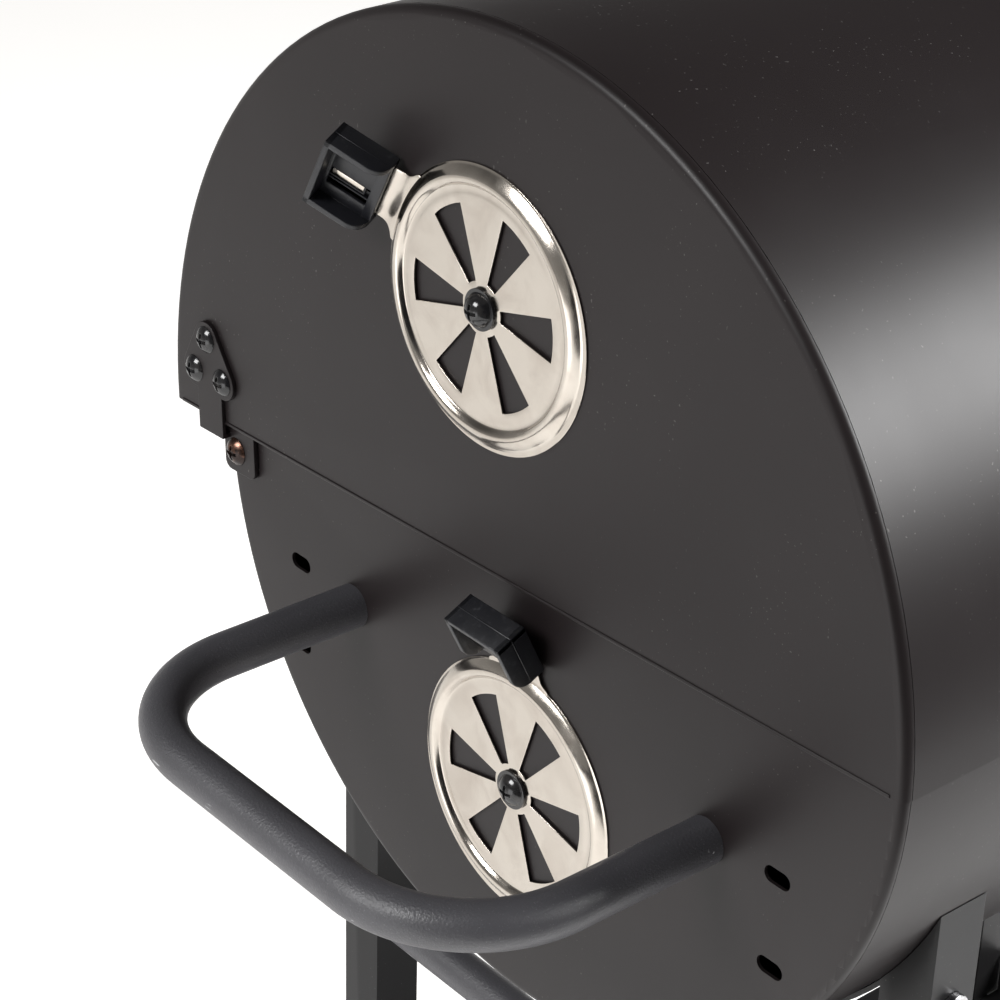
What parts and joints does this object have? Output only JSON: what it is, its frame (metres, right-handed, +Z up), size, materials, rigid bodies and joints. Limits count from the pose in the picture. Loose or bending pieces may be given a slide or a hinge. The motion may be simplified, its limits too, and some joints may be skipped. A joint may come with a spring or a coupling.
{
  "type": "offset smoker",
  "caption": "Barrel charcoal smoker on a wheeled frame, with a hinged lid, turning dampers, end handle and a lower side firebox.",
  "frame": {"origin": "bottom centre of the whole object's bounding box, on the ground", "axes": "+Z up, +X along the barrel from the damper end to the firebox end, +Y from the front to the hinge side"},
  "size_m": [1.0834, 0.466, 0.974],
  "materials": {
    "barrel_paint": "satin black-brown enamel",
    "frame_paint": "satin black enamel",
    "handle_coat": "fine-grain textured charcoal powder coat",
    "stainless": "polished stainless sheet",
    "knob_plastic": "moulded black plastic",
    "black_screw": "black plated screw",
    "zinc": "zinc plated steel",
    "plated_rod": "bright plated wire",
    "pan_steel": "matte black enamelled sheet",
    "wheel_plastic": "moulded black plastic",
    "tyre": "solid black rubber",
    "dial_white": "printed white dial",
    "needle_red": "red enamel",
    "clear_glass": "clear glass"
  },
  "bodies": {
    "barrel_and_frame": {"body_shell": "barrel_paint", "body_end_left": "barrel_paint", "body_end_right": "barrel_paint", "lower_damper_screw": "black_screw", "intake_damper_screw": "black_screw", "hinge_pivot_screws": "black_screw", "end_handle": "handle_coat", "end_handle_bolts": "zinc", "leg_front_left": "frame_paint", "leg_rear_left": "frame_paint", "leg_front_right": "frame_paint", "leg_rear_right": "frame_paint", "saddles": "frame_paint", "frame_bolts": "zinc", "cross_bars": "handle_coat", "foot_caps": "knob_plastic", "bottom_shelf": "frame_paint", "shelf_screws": "zinc", "axle": "zinc", "axle_caps_spacers": "zinc", "grate_rails_stays": "barrel_paint", "firebox_shell": "barrel_paint", "firebox_end_left": "barrel_paint", "firebox_end_right": "barrel_paint", "firebox_shell_hinge_leaves": "barrel_paint", "duct_collar": "barrel_paint", "duct_spacers": "barrel_paint", "duct_bolts": "zinc", "fire_grate_stays": "barrel_paint"},
    "lid": {"lid_shell": "barrel_paint", "lid_end_left": "barrel_paint", "lid_end_right": "barrel_paint", "lid_handle_grip": "handle_coat", "lid_handle_posts": "black_screw", "gauge_case": "stainless", "gauge_face": "dial_white", "gauge_glass": "clear_glass", "gauge_stem": "stainless", "hinge_arm_left": "barrel_paint", "hinge_arm_right": "barrel_paint", "hinge_leaf_screws": "black_screw", "upper_damper_screw": "black_screw"},
    "needle": {"gauge_needle": "needle_red"},
    "upper_damper": {"upper_damper_disc": "stainless", "upper_damper_knob": "knob_plastic"},
    "lower_damper": {"lower_damper_disc": "stainless", "lower_damper_knob": "knob_plastic"},
    "intake_damper": {"intake_damper_disc": "stainless", "intake_damper_knob": "knob_plastic"},
    "firebox_door": {"firebox_lid": "barrel_paint", "firebox_lid_hinge_leaves": "barrel_paint", "firebox_handle": "handle_coat"},
    "front_wheel": {"wheel_front": "wheel_plastic", "tyre_front": "tyre"},
    "rear_wheel": {"wheel_rear": "wheel_plastic", "tyre_rear": "tyre"},
    "left_grate": {"cooking_grate_left": "plated_rod"},
    "right_grate": {"cooking_grate_right": "plated_rod"},
    "coal_pan": {"charcoal_pan": "pan_steel"},
    "coal_grate": {"fire_grate": "pan_steel"}
  },
  "joints": [
    {"name": "lid_hinge", "type": "hinge", "parent": "barrel_and_frame", "child": "lid", "pos_m": [-0.12088, 0.18926, 0.73701], "axis": [-1, 0, 0], "range_deg": [0, 95]},
    {"name": "upper_damper_turn", "type": "hinge", "parent": "lid", "child": "upper_damper", "pos_m": [-0.41588, 0.02485, 0.86451], "axis": [-1, 0, 0], "range_deg": [-30, 30]},
    {"name": "lower_damper_turn", "type": "hinge", "parent": "barrel_and_frame", "child": "lower_damper", "pos_m": [-0.41118, 0.00375, 0.6627], "axis": [-1, 0, 0], "range_deg": [-30, 30]},
    {"name": "intake_damper_turn", "type": "hinge", "parent": "barrel_and_frame", "child": "intake_damper", "pos_m": [0.51612, 0.00375, 0.59], "axis": [1, 0, 0], "range_deg": [-30, 30]},
    {"name": "gauge_needle_turn", "type": "hinge", "parent": "lid", "child": "needle", "pos_m": [-0.12088, -0.0944, 0.94207], "axis": [0, 0.5255, -0.8508], "range_deg": [0, 270]},
    {"name": "firebox_lid_hinge", "type": "hinge", "parent": "barrel_and_frame", "child": "firebox_door", "pos_m": [0.35112, 0.14751, 0.76066], "axis": [-1, 0, 0], "range_deg": [0, 105]},
    {"name": "front_wheel_spin", "type": "hinge", "parent": "barrel_and_frame", "child": "front_wheel", "pos_m": [0.11072, -0.20095, 0.08], "axis": [0, 1, 0], "continuous": true},
    {"name": "rear_wheel_spin", "type": "hinge", "parent": "barrel_and_frame", "child": "rear_wheel", "pos_m": [0.11072, 0.20095, 0.08], "axis": [0, 1, 0], "continuous": true},
    {"name": "left_grate_lift", "type": "slide", "parent": "barrel_and_frame", "child": "left_grate", "axis": [0, 0, 1], "range_m": [0, 0.1]},
    {"name": "right_grate_lift", "type": "slide", "parent": "barrel_and_frame", "child": "right_grate", "axis": [0, 0, 1], "range_m": [0, 0.1]},
    {"name": "coal_pan_lift", "type": "slide", "parent": "barrel_and_frame", "child": "coal_pan", "axis": [0, 0, 1], "range_m": [0, 0.04]},
    {"name": "coal_grate_lift", "type": "slide", "parent": "barrel_and_frame", "child": "coal_grate", "axis": [0, 0, 1], "range_m": [0, 0.06]}
  ]
}
